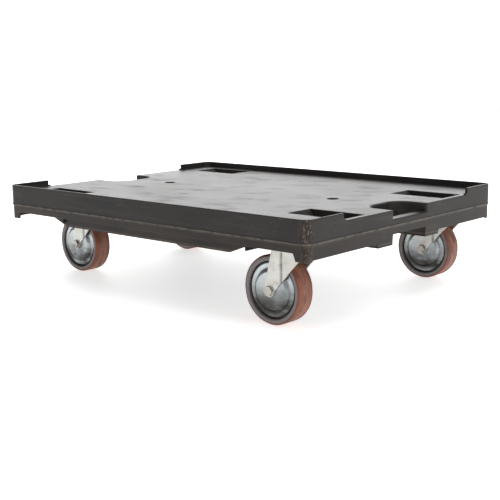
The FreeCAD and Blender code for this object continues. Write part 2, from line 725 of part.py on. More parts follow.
def base_edges(whole):
    # Lower edges of the long sides, the blocks and the keel beams
    seam_z = SIZES["wheel_diameter"] + SIZES["head_height"] + SIZES["seam_rise"]
    edge = SIZES["lower_edge"]
    out = (SIZES["deck_length"], SIZES["deck_width"])
    side_y = SIZES["deck_width"] / 2 - SIZES["skirt_inset"] - SIZES["skirt_wall"]
    base = rounded("side_edges", whole, edge, (-1, side_y), out, seam_z - SIZES["side_depth"])
    base = rounded("block_edges", base, edge, (-1, -1), out, seam_z - SIZES["block_depth"])
    return rounded("keel_edges", base, edge, (-1, -1), out, seam_z - SIZES["keel_depth"])


def threaded_inserts():
    inserts = []
    for x, y in all_screw_places():
        top = f"{PLATE_Z} + sizes.insert_height"
        outside = rod("insert_outside", "sizes.insert_size / 2", x, y, (PLATE_Z, top))
        bore = rod("insert_bore", "sizes.insert_bore / 2", x, y, (f"{PLATE_Z} - 1", f"{top} + 1"))
        inserts.append(cut("insert", outside, [bore]))
    finish(group("inserts", inserts), "threaded_inserts")


def hexagon(name, flats, height, x, y, z):
    prism = doc.addObject("Part::Prism", name)
    prism.Polygon = 6
    bind(prism, {"Circumradius": f"({flats}) / 2 / cos(30)", "Height": height})
    place(prism, x, y, z)
    return prism


def plate_screws():
    screws = []
    for x, y in all_screw_places():
        head = hexagon("screw_head", "sizes.screw_flats", "sizes.screw_head", x, y, f"{PLATE_LOW} - sizes.screw_head")
        shank = rod("shank", "sizes.screw_size / 2", x, y, (f"{PLATE_LOW} - 1", f"{PLATE_LOW} + sizes.screw_length"))
        screws.append(joined("screw", [head, shank]))
    finish(group("screws", screws), "plate_screws")


# Castors, each piece in the castor's own place

def castor_body(label, castor, x_shift="0", z_shift="0"):
    x, y = CASTORS[castor]
    body = doc.addObject("PartDesign::Body", f"{castor}_{label}")
    place(body, f"{x} + {x_shift}", y, z_shift)
    finish(body, f"{castor}_{label}")
    return body


def wheel_body(label, castor):
    return castor_body(label, castor, "(-sizes.trail)", AXLE_Z)


def top_plate(castor):
    body = castor_body("top_plate", castor)
    sketch = new_sketch(body, "plate_plan", "XY_Plane", PLATE_LOW)
    rectangle(sketch, ("-sizes.plate_length / 2", "sizes.plate_length / 2"),
              ("-sizes.plate_width / 2", "sizes.plate_width / 2"))
    plate = pad(body, sketch, "sizes.plate_skin")
    round_edges(body, plate, "sizes.plate_round", upright)
    holes = new_sketch(body, "plate_holes", "XY_Plane", PLATE_Z)
    for along in (1, -1):
        for across in (1, -1):
            circle(holes, f"{along} * sizes.bolt_length / 2", f"{across} * sizes.bolt_width / 2",
                   "(sizes.screw_size + sizes.bolt_play) / 2")
    circle(holes, "0", "0", "sizes.pin_size / 2 + sizes.press_gap")
    pocket(body, holes, "sizes.plate_skin")


def kingpin(castor):
    body = castor_body("kingpin", castor)
    sketch = new_sketch(body, "pin_profile", "XZ_Plane")
    pin = "sizes.pin_size / 2"
    head = "sizes.pin_head / 2"
    low = f"{CUP_LOW} - sizes.pin_head_height"
    chamfer = "sizes.pin_head_height / 2"
    polygon(sketch, [("0", low), (f"{head} - {chamfer}", low), (head, f"{low} + {chamfer}"), (head, CUP_LOW),
                     (pin, CUP_LOW), (pin, PLATE_Z), ("0", PLATE_Z)])
    turn(body, sketch, "V_Axis")


def race_cup(castor):
    body = castor_body("race_cup", castor)
    sketch = new_sketch(body, "cup_profile", "XZ_Plane")
    bore = "sizes.pin_size / 2 + sizes.press_gap"
    edge = "sizes.cup_size / 2"
    lip = f"{CUP_TOP} + sizes.cup_lip"
    polygon(sketch, [(bore, CUP_LOW), (edge, CUP_LOW), (edge, lip), (f"{edge} - sizes.cup_skin", lip),
                     (f"{edge} - sizes.cup_skin", CUP_TOP), (bore, CUP_TOP)])
    turn(body, sketch, "V_Axis")


def ball_ring(castor, count, diameter, ring, z):
    x, y = CASTORS[castor]
    balls = []
    for number in range(count):
        angle = 360 * number / count
        ball = doc.addObject("Part::Sphere", "ball")
        ball.setExpression("Radius", f"{diameter} / 2")
        place(ball, f"{x} + {ring} / 2 * cos({angle})", f"{y} + {ring} / 2 * sin({angle})", z)
        balls.append(ball)
    return balls


def balls(castor):
    upper = ball_ring(castor, UPPER_BALLS, "sizes.upper_ball", "sizes.upper_ring", f"({CROWN_TOP} + {PLATE_LOW}) / 2")
    lower = ball_ring(castor, LOWER_BALLS, "sizes.lower_ball", "sizes.lower_ring", f"({CUP_TOP} + {CROWN_LOW}) / 2")
    finish(group("balls", upper + lower), f"{castor}_balls")


def leg_outline():
    # Side view of a leg: rear edge that leans forwards, wing that widens up to the crown
    axle = "(-sizes.trail)"
    crown = "sizes.crown_size / 2"
    return [
        (f"{axle} - sizes.leg_half", AXLE_Z),
        (f"{axle} + sizes.leg_half", AXLE_Z),
        (f"{axle} + sizes.wing_front", f"{AXLE_Z} + sizes.wing_rise"),
        (f"{axle} + sizes.shoulder_front", f"{AXLE_Z} + sizes.shoulder_rise"),
        (crown, f"{CROWN_LOW} - sizes.fork_skin"),
        (crown, CROWN_TOP),
        (f"-{crown}", CROWN_TOP),
    ]


def fork(castor):
    body = castor_body("fork", castor)
    outside = "(sizes.fork_inside + 2 * sizes.fork_skin)"
    sketch = new_sketch(body, "leg_outline", "XZ_Plane")
    polygon(sketch, leg_outline())
    legs = pad(body, sketch, outside, both_ways=True)

    def crown_edge(edge):
        box = edge.BoundBox
        return box.ZLength < 1e-4 and box.YLength < 1e-4 and box.ZMin > legs.Shape.BoundBox.ZMax - 0.01

    round_edges(body, legs, "sizes.bend_round", crown_edge)
    eye = new_sketch(body, "leg_eye", "XZ_Plane")
    circle(eye, "-sizes.trail", AXLE_Z, "sizes.leg_half")
    pad(body, eye, outside, both_ways=True)
    crown = new_sketch(body, "crown_plan", "XY_Plane", CROWN_LOW)
    circle(crown, "0", "0", "sizes.crown_size / 2")
    pad(body, crown, "sizes.fork_skin")
    lip = new_sketch(body, "crown_lip", "XY_Plane", CROWN_LOW)
    circle(lip, "0", "0", "sizes.crown_size / 2")
    circle(lip, "0", "0", "sizes.crown_size / 2 - sizes.fork_skin")
    pad(body, lip, "sizes.fork_skin + sizes.crown_lip")
    between = new_sketch(body, "between_legs", "XZ_Plane")
    rectangle(between, ("-sizes.crown_size", "sizes.crown_size"), ("0", CROWN_LOW))
    pocket(body, between, "sizes.fork_inside", both_ways=True)
    holes = new_sketch(body, "axle_holes", "XZ_Plane")
    circle(holes, "-sizes.trail", AXLE_Z, "sizes.axle_size / 2 + sizes.axle_play")
    pocket(body, holes, f"{outside} + 2", both_ways=True)
    pin_hole = new_sketch(body, "pin_hole", "XY_Plane", f"{CROWN_TOP} + 1")
    circle(pin_hole, "0", "0", "sizes.pin_size / 2 + sizes.pin_gap")
    pocket(body, pin_hole, "sizes.fork_skin + 2")


def axle(castor):
    x, y = CASTORS[castor]
    axle_x = f"({x} - sizes.trail)"
    face = "(sizes.fork_inside / 2 + sizes.fork_skin)"
    upright_turn = FreeCAD.Rotation(FreeCAD.Vector(1, 0, 0), -90)
    nut_y = f"{y} + {face}"
    head_y = f"{y} - {face} - sizes.axle_head"
    shank = cross_rod("axle_shank", "sizes.axle_size / 2", axle_x,
                      (f"{head_y} + sizes.axle_head / 2", f"{nut_y} + sizes.axle_head + 1"), AXLE_Z)
    head = hexagon("axle_head", "sizes.axle_flats", "sizes.axle_head", axle_x, head_y, AXLE_Z)
    head.Placement.Rotation = upright_turn
    finish(joined("axle_bolt", [shank, head]), f"{castor}_axle_bolt")
    nut = hexagon("axle_nut_form", "sizes.axle_flats", "sizes.axle_head", axle_x, nut_y, AXLE_Z)
    nut.Placement.Rotation = upright_turn
    bore = cross_rod("nut_bore", "sizes.axle_size / 2 + sizes.press_gap", axle_x,
                     (f"{nut_y} - 1", f"{nut_y} + sizes.axle_head + 1"), AXLE_Z)
    finish(cut("axle_nut", nut, [bore]), f"{castor}_axle_nut")


def tube(body, inner, outer, half_length):
    sketch = new_sketch(body, "tube_profile", "YZ_Plane")
    rectangle(sketch, (f"-({half_length})", half_length), (inner, outer))
    turn(body, sketch, "H_Axis")


def axle_sleeve(castor):
    # Held between the two guards, which the legs clamp
    body = wheel_body("axle_sleeve", castor)
    tube(body, "sizes.axle_size / 2 + sizes.axle_play", "sizes.sleeve_size / 2", GUARD_IN)


def roller_bearing(castor):
    x, y = CASTORS[castor]
    pitch = "(sizes.sleeve_size / 2 + sizes.hub_bore / 2) / 2"
    half = "sizes.roller_length / 2"
    rollers = []
    for number in range(ROLLERS):
        angle = 360 * number / ROLLERS
        rollers.append(cross_rod("roller", "sizes.roller_size / 2", f"{x} - sizes.trail + {pitch} * cos({angle})",
                                 (f"{y} - {half}", f"{y} + {half}"), f"{AXLE_Z} + {pitch} * sin({angle})"))
    finish(group("rollers", rollers), f"{castor}_roller_bearing")


def thread_guard(castor, label, side):
    # Pressed disc: raised middle that the leg clamps, cone, flat, edge rolled towards the wheel
    body = wheel_body(label, castor)
    sketch = new_sketch(body, "guard_profile", "YZ_Plane")
    flat = f"({GUARD_IN} - sizes.guard_drop)"
    rolled = f"({flat} - sizes.guard_roll)"
    inner = [
        (GUARD_IN, "sizes.axle_size / 2 + sizes.axle_play"),
        (GUARD_IN, "sizes.guard_dish / 2"),
        (flat, "sizes.guard_cone / 2"),
        (flat, "sizes.guard_size / 2 - 2 * sizes.guard_skin"),
        (rolled, "sizes.guard_size / 2"),
    ]
    outer = [(f"({across} + sizes.guard_skin)", up) for across, up in reversed(inner)]
    points = [(turned_side(side, across), up) for across, up in inner + outer]
    polygon(sketch, points)
    turn(body, sketch, "H_Axis")


def wheel_core(castor):
    # Hub, web and rim in one moulding
    body = wheel_body("wheel_core", castor)
    sketch = new_sketch(body, "core_profile", "YZ_Plane")
    hub = f"({GUARD_IN} - sizes.guard_gap)"
    web = "(sizes.core_web / 2)"
    rim = "(sizes.core_width / 2)"
    right = [
        (hub, "sizes.hub_bore / 2"),
        (hub, "sizes.hub_size / 2"),
        (web, "sizes.hub_size / 2"),
        (web, "sizes.core_rim / 2"),
        (rim, "sizes.core_rim / 2"),
        (rim, "sizes.core_size / 2"),
    ]
    left = [(f"-{across}", up) for across, up in reversed(right)]
    polygon(sketch, right + left)
    turn(body, sketch, "H_Axis")


def tyre(castor):
    body = wheel_body("tyre", castor)
    sketch = new_sketch(body, "tyre_profile", "YZ_Plane")
    half = "sizes.tyre_width / 2"
    rectangle(sketch, (f"-{half}", half), ("sizes.core_size / 2 + sizes.press_gap", "sizes.wheel_diameter / 2"))
    ring = turn(body, sketch, "H_Axis")
    limit = SIZES["wheel_diameter"]

    def tread_edge(line):
        box = line.BoundBox
        return box.YLength < 1e-4 and box.ZLength > limit - 0.01

    round_edges(body, ring, "sizes.tyre_shoulder", tread_edge)


def castor_pieces(castor):
    top_plate(castor)
    kingpin(castor)
    race_cup(castor)
    balls(castor)
    fork(castor)
    axle(castor)
    axle_sleeve(castor)
    roller_bearing(castor)
    thread_guard(castor, "left_guard", 1)
    thread_guard(castor, "right_guard", -1)
    wheel_core(castor)
    tyre(castor)


def check_all():
    for thing in doc.Objects:
        if "Invalid" in thing.State or "Error" in thing.State:
            raise RuntimeError(f"{thing.Label} did not compute: {thing.State}")
    for thing in finished:
        if thing.Shape.isNull() or not thing.Shape.isValid():
            raise RuntimeError(f"{thing.Label} has no valid shape")


def write_all():
    os.makedirs("parts", exist_ok=True)
    for thing in finished:
        thing.Shape.exportStep(f"parts/{thing.Label}.step")
        box = thing.Shape.BoundBox
        print(f"{thing.Label}: {len(thing.Shape.Solids)} solids, {thing.Shape.Volume / 1000:.1f} cm3, "
              f"z {box.ZMin:.1f} to {box.ZMax:.1f}")


fill_sheet()
deck_shell()
base_shell()
threaded_inserts()
plate_screws()
for name in CASTORS:
    castor_pieces(name)
doc.recompute()
check_all()
write_all()
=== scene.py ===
import bpy
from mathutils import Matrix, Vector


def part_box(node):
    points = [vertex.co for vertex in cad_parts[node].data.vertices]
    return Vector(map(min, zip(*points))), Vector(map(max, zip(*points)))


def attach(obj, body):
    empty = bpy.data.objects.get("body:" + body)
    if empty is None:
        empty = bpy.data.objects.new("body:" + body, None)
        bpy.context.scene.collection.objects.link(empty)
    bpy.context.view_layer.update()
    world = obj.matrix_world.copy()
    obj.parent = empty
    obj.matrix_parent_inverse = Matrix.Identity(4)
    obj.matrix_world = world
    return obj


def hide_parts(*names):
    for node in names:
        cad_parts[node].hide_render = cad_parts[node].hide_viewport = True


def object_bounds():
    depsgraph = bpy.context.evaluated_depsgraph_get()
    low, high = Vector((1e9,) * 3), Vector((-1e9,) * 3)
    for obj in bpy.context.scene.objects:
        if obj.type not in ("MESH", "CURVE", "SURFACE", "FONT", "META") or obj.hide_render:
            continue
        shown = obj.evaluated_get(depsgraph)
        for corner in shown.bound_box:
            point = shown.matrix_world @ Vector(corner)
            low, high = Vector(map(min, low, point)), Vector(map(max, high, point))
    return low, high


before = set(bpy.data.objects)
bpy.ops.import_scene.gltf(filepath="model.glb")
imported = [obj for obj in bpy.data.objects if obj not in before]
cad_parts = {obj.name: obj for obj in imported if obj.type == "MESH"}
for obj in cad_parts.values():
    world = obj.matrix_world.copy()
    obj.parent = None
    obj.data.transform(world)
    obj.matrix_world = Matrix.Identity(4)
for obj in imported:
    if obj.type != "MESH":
        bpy.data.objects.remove(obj)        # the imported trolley: bodies, nodes, joints and record
cadBox = [list(corner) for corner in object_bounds()]

import bpy
import math
import numpy as np
from mathutils import Matrix, Vector

castorNames = ["narrow_left", "narrow_right", "wide_left", "wide_right"]
platformMiddle = Vector((0, 0, (cadBox[0][2] + cadBox[1][2]) / 2))
metre = 1000             # millimetres in a metre; sizes below are in millimetres


def hexColor(text):
    # sRGB hex to the linear values that the shaders work in
    parts = [int(text[k:k + 2], 16) / 255 for k in (1, 3, 5)]
    linear = [c / 12.92 if c <= 0.04045 else ((c + 0.055) / 1.055) ** 2.4 for c in parts]
    return (*linear, 1.0)


def addNode(tree, kind, inputs=None, **settings):
    # one node, with its settings and its inputs; an input is a plain value, an output or a whole node
    node = tree.nodes.new("ShaderNode" + kind)
    for name, value in settings.items():
        setattr(node, name, value)
    for key, value in (inputs or {}).items():
        if isinstance(value, bpy.types.Node):
            value = value.outputs[0]
        if isinstance(value, bpy.types.NodeSocket):
            tree.links.new(value, node.inputs[key])
        else:
            node.inputs[key].default_value = value
    return node


def newMaterial(name):
    material = bpy.data.materials.new(name)
    material.use_nodes = True
    material.node_tree.nodes.clear()
    return material


def blotches(tree, place, size, low, high, detail=3.0, turn=0.0):
    # noise with patches of the given size along X, Y and Z, turned about Z; 0 below low, 1 above high
    spread = addNode(tree, "Mapping", {"Vector": place, "Rotation": (0, 0, math.radians(turn)),
                                       "Scale": tuple(s / metre for s in size)}, vector_type="TEXTURE")
    noise = addNode(tree, "TexNoise", {"Vector": spread, "Scale": 1.0, "Detail": detail, "Roughness": 0.6})
    return addNode(tree, "MapRange", {0: noise, 1: low, 2: high}, interpolation_type="SMOOTHSTEP")


def between(tree, height, low, high, soft):
    # 1 where the value lies between low and high, fading over soft on both sides
    rise = addNode(tree, "MapRange", {0: height, 1: low - soft, 2: low}, interpolation_type="SMOOTHSTEP")
    fall = addNode(tree, "MapRange", {0: height, 1: high, 2: high + soft, 3: 1.0, 4: 0.0},
                   interpolation_type="SMOOTHSTEP")
    return product(tree, rise, fall)


def product(tree, *masks):
    whole = masks[0]
    for mask in masks[1:]:
        whole = addNode(tree, "Math", {0: whole, 1: mask}, operation="MULTIPLY")
    return whole


def total(tree, *masks):
    # sum of masks, held at 1
    whole = masks[0]
    for mask in masks[1:]:
        whole = addNode(tree, "Math", {0: whole, 1: mask}, operation="ADD", use_clamp=True)
    return whole


def layered(tree, color, layers):
    # each layer's colour covers the ones before it as far as its mask says
    for mask, over in layers:
        color = addNode(tree, "Mix", {0: mask, 6: color, 7: hexColor(over)}, data_type="RGBA").outputs[2]
    return color


def finishSurface(tree, color, roughness, height, depth, **plain):
    # the shader, with bumps as deep as depth where height goes from 0 to 1
    bump = addNode(tree, "Bump", {"Height": height, "Distance": depth / metre, "Strength": 1.0})
    shader = addNode(tree, "BsdfPrincipled", {"Base Color": color, "Roughness": roughness, "Normal": bump})
    for name, value in plain.items():
        shader.inputs[name.replace("_", " ")].default_value = value
    addNode(tree, "OutputMaterial", {"Surface": shader})


cameraView = {
    "azimuth": 41.72, "elevation": 10.81, "roll": -0.76,     # degrees
    "distance": 2.0487, "across": 0.0083, "up": -0.0405,     # metres, from the platform's middle
    "lens": 69.78,
}


def makeCamera():
    azimuth, elevation, roll = (math.radians(cameraView[name]) for name in ("azimuth", "elevation", "roll"))
    back = Vector((math.sin(azimuth) * math.cos(elevation), -math.cos(azimuth) * math.cos(elevation),
                   math.sin(elevation)))
    level = Vector((math.cos(azimuth), math.sin(azimuth), 0))
    upright = back.cross(level)
    right = level * math.cos(roll) + upright * math.sin(roll)
    up = upright * math.cos(roll) - level * math.sin(roll)
    data = bpy.data.cameras.new("camera")
    data.lens, data.sensor_width, data.clip_end = cameraView["lens"], 36, 50
    camera = bpy.data.objects.new("camera", data)
    place = platformMiddle + back * cameraView["distance"]
    place += right * cameraView["across"] + up * cameraView["up"]
    camera.matrix_world = Matrix([(right[k], up[k], back[k], place[k]) for k in range(3)] + [(0, 0, 0, 1)])
    bpy.context.scene.collection.objects.link(camera)
    bpy.context.scene.camera = camera


studio = {
    "sky": 0.43,                                             # brightness of the room on the object
    "backdrop": 1.1,                                         # brightness of the backdrop itself
    "floor": "#f4f4f3", "floorCloud": "#f7f7f7",
    "floorSize": 16.0,                                       # metres
    "floorGlow": 0.62,
    # place, aimed at, width and height in metres, power in watts
    "lights": {
        "overhead": ((0.3, 0.1, 3.0), (0, 0, 0.1), 2.6, 2.6, 30),
        "behind": ((-1.9, 2.9, 1.35), (0.1, 0, 0.2), 5.8, 2.6, 138),
        "right": ((3.4, -0.2, 1.5), (0, 0, 0.1), 2.0, 2.0, 26),
    },
}


def makeStudio():
    scene = bpy.context.scene
    scene.view_settings.view_transform = "Standard"
    world = bpy.data.worlds.new("white room")
    scene.world = world
    world.use_nodes = True
    sky = world.node_tree.nodes["Background"]
    sky.inputs["Color"].default_value = (1, 1, 1, 1)
    # the backdrop is lit on its own, so it is brighter than the room
    seen = addNode(world.node_tree, "LightPath").outputs["Is Camera Ray"]
    addNode(world.node_tree, "MapRange", {0: seen, 3: studio["sky"], 4: studio["backdrop"]})
    world.node_tree.links.new(world.node_tree.nodes["Map Range"].outputs[0], sky.inputs["Strength"])
    for name, (place, target, width, height, power) in studio["lights"].items():
        data = bpy.data.lights.new(name, "AREA")
        data.shape, data.size, data.size_y, data.energy = "RECTANGLE", width, height, power
        light = bpy.data.objects.new(name, data)
        light.location = place
        light.rotation_euler = (Vector(place) - Vector(target)).to_track_quat("Z", "Y").to_euler()
        scene.collection.objects.link(light)
    # shooting table: smooth opal acrylic, lit softly from below
    half = studio["floorSize"] / 2
    mesh = bpy.data.meshes.new("floor")
    corners = [(-half, -half, 0), (half, -half, 0), (half, half, 0), (-half, half, 0)]
    mesh.from_pydata(corners, [], [(0, 1, 2, 3)])
    floor = bpy.data.objects.new("floor", mesh)
    scene.collection.objects.link(floor)
    material = newMaterial("opal acrylic")
    tree = material.node_tree
    place = addNode(tree, "TexCoord").outputs["Object"]
    faint = blotches(tree, place, (900, 900, 900), 0.3, 0.7)
    color = layered(tree, hexColor(studio["floor"]), [(faint, studio["floorCloud"])])
    finishSurface(tree, color, 0.6, faint, 0.01, Specular_IOR_Level=0.2, Emission_Color=(1, 1, 1, 1),
                  Emission_Strength=studio["floorGlow"])
    mesh.materials.append(material)


# Sizes of the wheel's pieces, from the middle of the axle
tyreSizes = {"core": 52.05, "tread": 62.5, "half": 19.9, "foot": 18.5, "shoulder": 5.5, "crown": 0.25,
             "seamReach": 57.6, "seamDepth": 0.45, "seamWidth": 0.7, "scuff": 0.12, "wear": 0.25,
             "clear": 0.01}
coreSizes = {"bore": 10.7, "hub": 17, "rimInside": 45, "rim": 52, "hubHalf": 20.3, "webHalf": 4.5,
             "rimHalf": 13.4, "round": 1.2, "ribs": 12, "ribRise": 5.5, "ribSharp": 10}
guardSizes = {"bore": 5.2, "dish": 33, "cone": 38.5, "edge": 48.9, "skin": 1.5, "drop": 6.0, "roll": 0.9,
              "round": 2.4, "outside": 22.42, "swage": 43.5, "swageWidth": 0.9, "swageDeep": 0.35}


def roundedOutline(points, cuts, steps=7):
    # a closed outline whose corners are parabolas: (1-s)^2 start + 2s(1-s) corner + s^2 end,
    # leaving both sides at the corner's cut
    corner = np.array(points, float)
    cut = np.broadcast_to(np.asarray(cuts, float), len(corner))[:, None]
    toLast, toNext = np.roll(corner, 1, 0) - corner, np.roll(corner, -1, 0) - corner
    start = corner + cut * toLast / np.linalg.norm(toLast, axis=1)[:, None]
    end = corner + cut * toNext / np.linalg.norm(toNext, axis=1)[:, None]
    s = np.linspace(0, 1, steps)[None, :, None]
    curve = (1 - s) ** 2 * start[:, None] + 2 * s * (1 - s) * corner[:, None] + s ** 2 * end[:, None]
    return curve.reshape(-1, 2)


def meshPiece(name, shells, attributes=None, sharp=30):
    # each shell is points in metres and faces, turned round together where its volume comes out negative
    points, faces, count = [], [], 0
    for shellPoints, shellFaces in shells:
        first, second, third, fourth = (shellPoints[shellFaces[:, k]] for k in range(4))
        volume = (first * (np.cross(second, third) + np.cross(third, fourth))).sum()
        points.append(shellPoints)
        faces.append((shellFaces if volume > 0 else shellFaces[:, ::-1]) + count)
        count += len(shellPoints)
    points, faces = np.concatenate(points), np.concatenate(faces)
    mesh = bpy.data.meshes.new(name)
    mesh.from_pydata(points.tolist(), [], faces.tolist())
    for label, values in (attributes or {}).items():
        attribute = mesh.attributes.new(label, "FLOAT", "POINT")
        attribute.data.foreach_set("value", values.astype(np.float32).ravel())
    mesh.polygons.foreach_set("use_smooth", np.ones(len(faces), bool))
    mesh.set_sharp_from_angle(angle=math.radians(sharp))
    piece = bpy.data.objects.new(name, mesh)
    bpy.context.scene.collection.objects.link(piece)
    return piece


def closedSheet(outer, inner):
    # two parallel grids and the strips that join their edges
    rows, columns = outer.shape[:2]
    points = np.concatenate([outer, inner[:, ::-1]], 1).reshape(-1, 3)
    around = 2 * columns
    row, column = np.meshgrid(np.arange(rows - 1), np.arange(around), indexing="ij")
    following = (column + 1) % around
    sides = np.stack([row * around + column, row * around + following,
                      (row + 1) * around + following, (row + 1) * around + column], -1).reshape(-1, 4)
    k = np.arange(columns - 1)
    start = np.stack([k + 1, k, around - 1 - k, around - 2 - k], -1)
    end = np.stack([k, k + 1, around - 2 - k, around - 1 - k], -1) + (rows - 1) * around
    return points, np.concatenate([sides, start, end])


def ringFaces(rows, columns):
    # quads of a grid that closes on itself both ways
    row, column = np.meshgrid(np.arange(rows), np.arange(columns), indexing="ij")
    nextRow, nextColumn = (row + 1) % rows, (column + 1) % columns
    return np.stack([row * columns + column, row * columns + nextColumn,
                     nextRow * columns + nextColumn, nextRow * columns + column], -1).reshape(-1, 4)


def turnedPiece(name, across, reach, centre, angle, dirt=None):
    # across and reach are millimetres along and from the axle, on a grid of outline by angle, and both
    # are kept as attributes for the materials:
    # x = centre + reach cos(angle), y = centre + across, z = centre + reach sin(angle)
    grid = np.stack([reach * np.cos(angle), across, reach * np.sin(angle)], -1) / metre + np.array(centre)
    rows, columns = reach.shape
    attributes = {"reach": reach, "across": across + 0 * angle}
    if dirt is not None:
        attributes["dirt"] = dirt
    return meshPiece(name, [(grid.reshape(-1, 3), ringFaces(rows, columns))], attributes)


def makeTyre(name, centre):
    # cast tyre: rounded shoulders, a slightly crowned tread and the fine seam of its mould on each side
    s = tyreSizes
    outline = roundedOutline([(-s["foot"], s["core"]), (s["foot"], s["core"]), (s["half"], s["core"] + 2),
                              (s["half"], s["tread"]), (-s["half"], s["tread"]), (-s["half"], s["core"] + 2)],
                             [0.6, 0.6, 0.9, s["shoulder"], s["shoulder"], 0.9], 14)
    angle = np.linspace(0, 2 * np.pi, 128, endpoint=False)[None, :]
    across, reach = outline[:, :1], outline[:, 1:]
    seam = s["seamDepth"] * np.exp(-((reach - s["seamReach"]) / s["seamWidth"]) ** 2)
    crown = s["crown"] * (across / s["half"]) ** 2 * (reach > s["tread"] - 1)
    waves = np.sin(5 * angle + 0.6 * across) + np.sin(11 * angle - 1.1)
    scuffs = s["scuff"] * waves * (reach > s["tread"] - 4)
    across = across - np.sign(across) * seam + 0 * angle
    # the worn tread stays inside the nominal wheel
    reach = np.minimum(reach - crown - s["wear"] + scuffs, s["tread"] - s["clear"])
    return turnedPiece(name, across, reach, centre, angle)


def makeCore(name, centre):
    # moulded core: hub, rim and a web whose faces rise in round-backed ribs,
    # web half thickness = web + rise * max(cos(ribs * angle), 0) ^ sharp
    s = coreSizes
    outline = roundedOutline(
        [(s["hubHalf"], s["bore"]), (s["hubHalf"], s["hub"]), (s["webHalf"], s["hub"] + 1.5),
         (s["webHalf"], s["rimInside"] - 1.5), (s["rimHalf"], s["rimInside"]), (s["rimHalf"], s["rim"]),
         (-s["rimHalf"], s["rim"]), (-s["rimHalf"], s["rimInside"]), (-s["webHalf"], s["rimInside"] - 1.5),
         (-s["webHalf"], s["hub"] + 1.5), (-s["hubHalf"], s["hub"]), (-s["hubHalf"], s["bore"])],
        s["round"], 5)
    angle = np.linspace(0, 2 * np.pi, 192, endpoint=False)[None, :]
    across, reach = outline[:, :1], outline[:, 1:]
    onWeb = (np.abs(across) < s["webHalf"] + 2) & (reach > s["hub"] + 1) & (reach < s["rimInside"] - 0.5)
    rib = s["ribRise"] * np.maximum(np.cos(s["ribs"] * angle), 0) ** s["ribSharp"]
    across = across + np.sign(across) * onWeb * rib
    return turnedPiece(name, across, reach + 0 * angle, centre, angle)


def makeGuard(name, centre, side):
    # pressed thread guard: raised middle, cone, flat, edge rolled towards the wheel
    s = guardSizes
    face, flat, low = s["outside"], s["outside"] - s["drop"], s["outside"] - s["drop"] - s["roll"]
    outer = [(face, s["bore"]), (face, s["dish"]), (flat, s["cone"]), (flat, s["edge"] - 1.5),
             (low, s["edge"])]
    inner = [(across - s["skin"], reach) for across, reach in reversed(outer)]
    cuts = np.array([0.4, s["round"], s["round"], 1.2, 0.4, 0.4, 0.5, s["round"], s["round"], 0.4])
    outline = roundedOutline(outer + inner, cuts, 7)
    angle = np.linspace(0, 2 * np.pi, 128, endpoint=False)[None, :]
    across, reach = outline[:, :1], outline[:, 1:]
    # a ring pressed into the flat stiffens it
    swage = s["swageDeep"] * np.exp(-((reach - s["swage"]) / s["swageWidth"]) ** 2)
    # painted shade at the foot of the cone and along the edge beside the gap to the tyre, kept in the dirt
    # attribute
    dirt = 0.3 * np.exp(-((reach - s["cone"] - 0.5) / 1.5) ** 2)
    dirt = dirt + 0.7 * np.clip((reach - s["edge"] + 2) / 2, 0, 1) + 0 * angle
    return turnedPiece(name, side * (across - swage) + 0 * angle, reach + 0 * angle, centre, angle, dirt)


forkSizes = {"skin": 3.0, "middle": 24.0, "bend": 6.0, "axle": 62.5, "eye": 11, "trail": 38, "top": 144.8,
             "wing": (41, 48), "shoulder": (61, 66.5), "crownFront": 60, "crownRear": 8, "crownIn": 12,
             "foldAt": 26.5, "foldWidth": 2.1, "foldDeep": 0.6, "groove": 1.7}
crownSizes = {"hole": 6.4, "reach": 37.5, "low": 143.35, "high": 146.25, "lip": 150.4, "skin": 2.9,
              "round": 1.6}


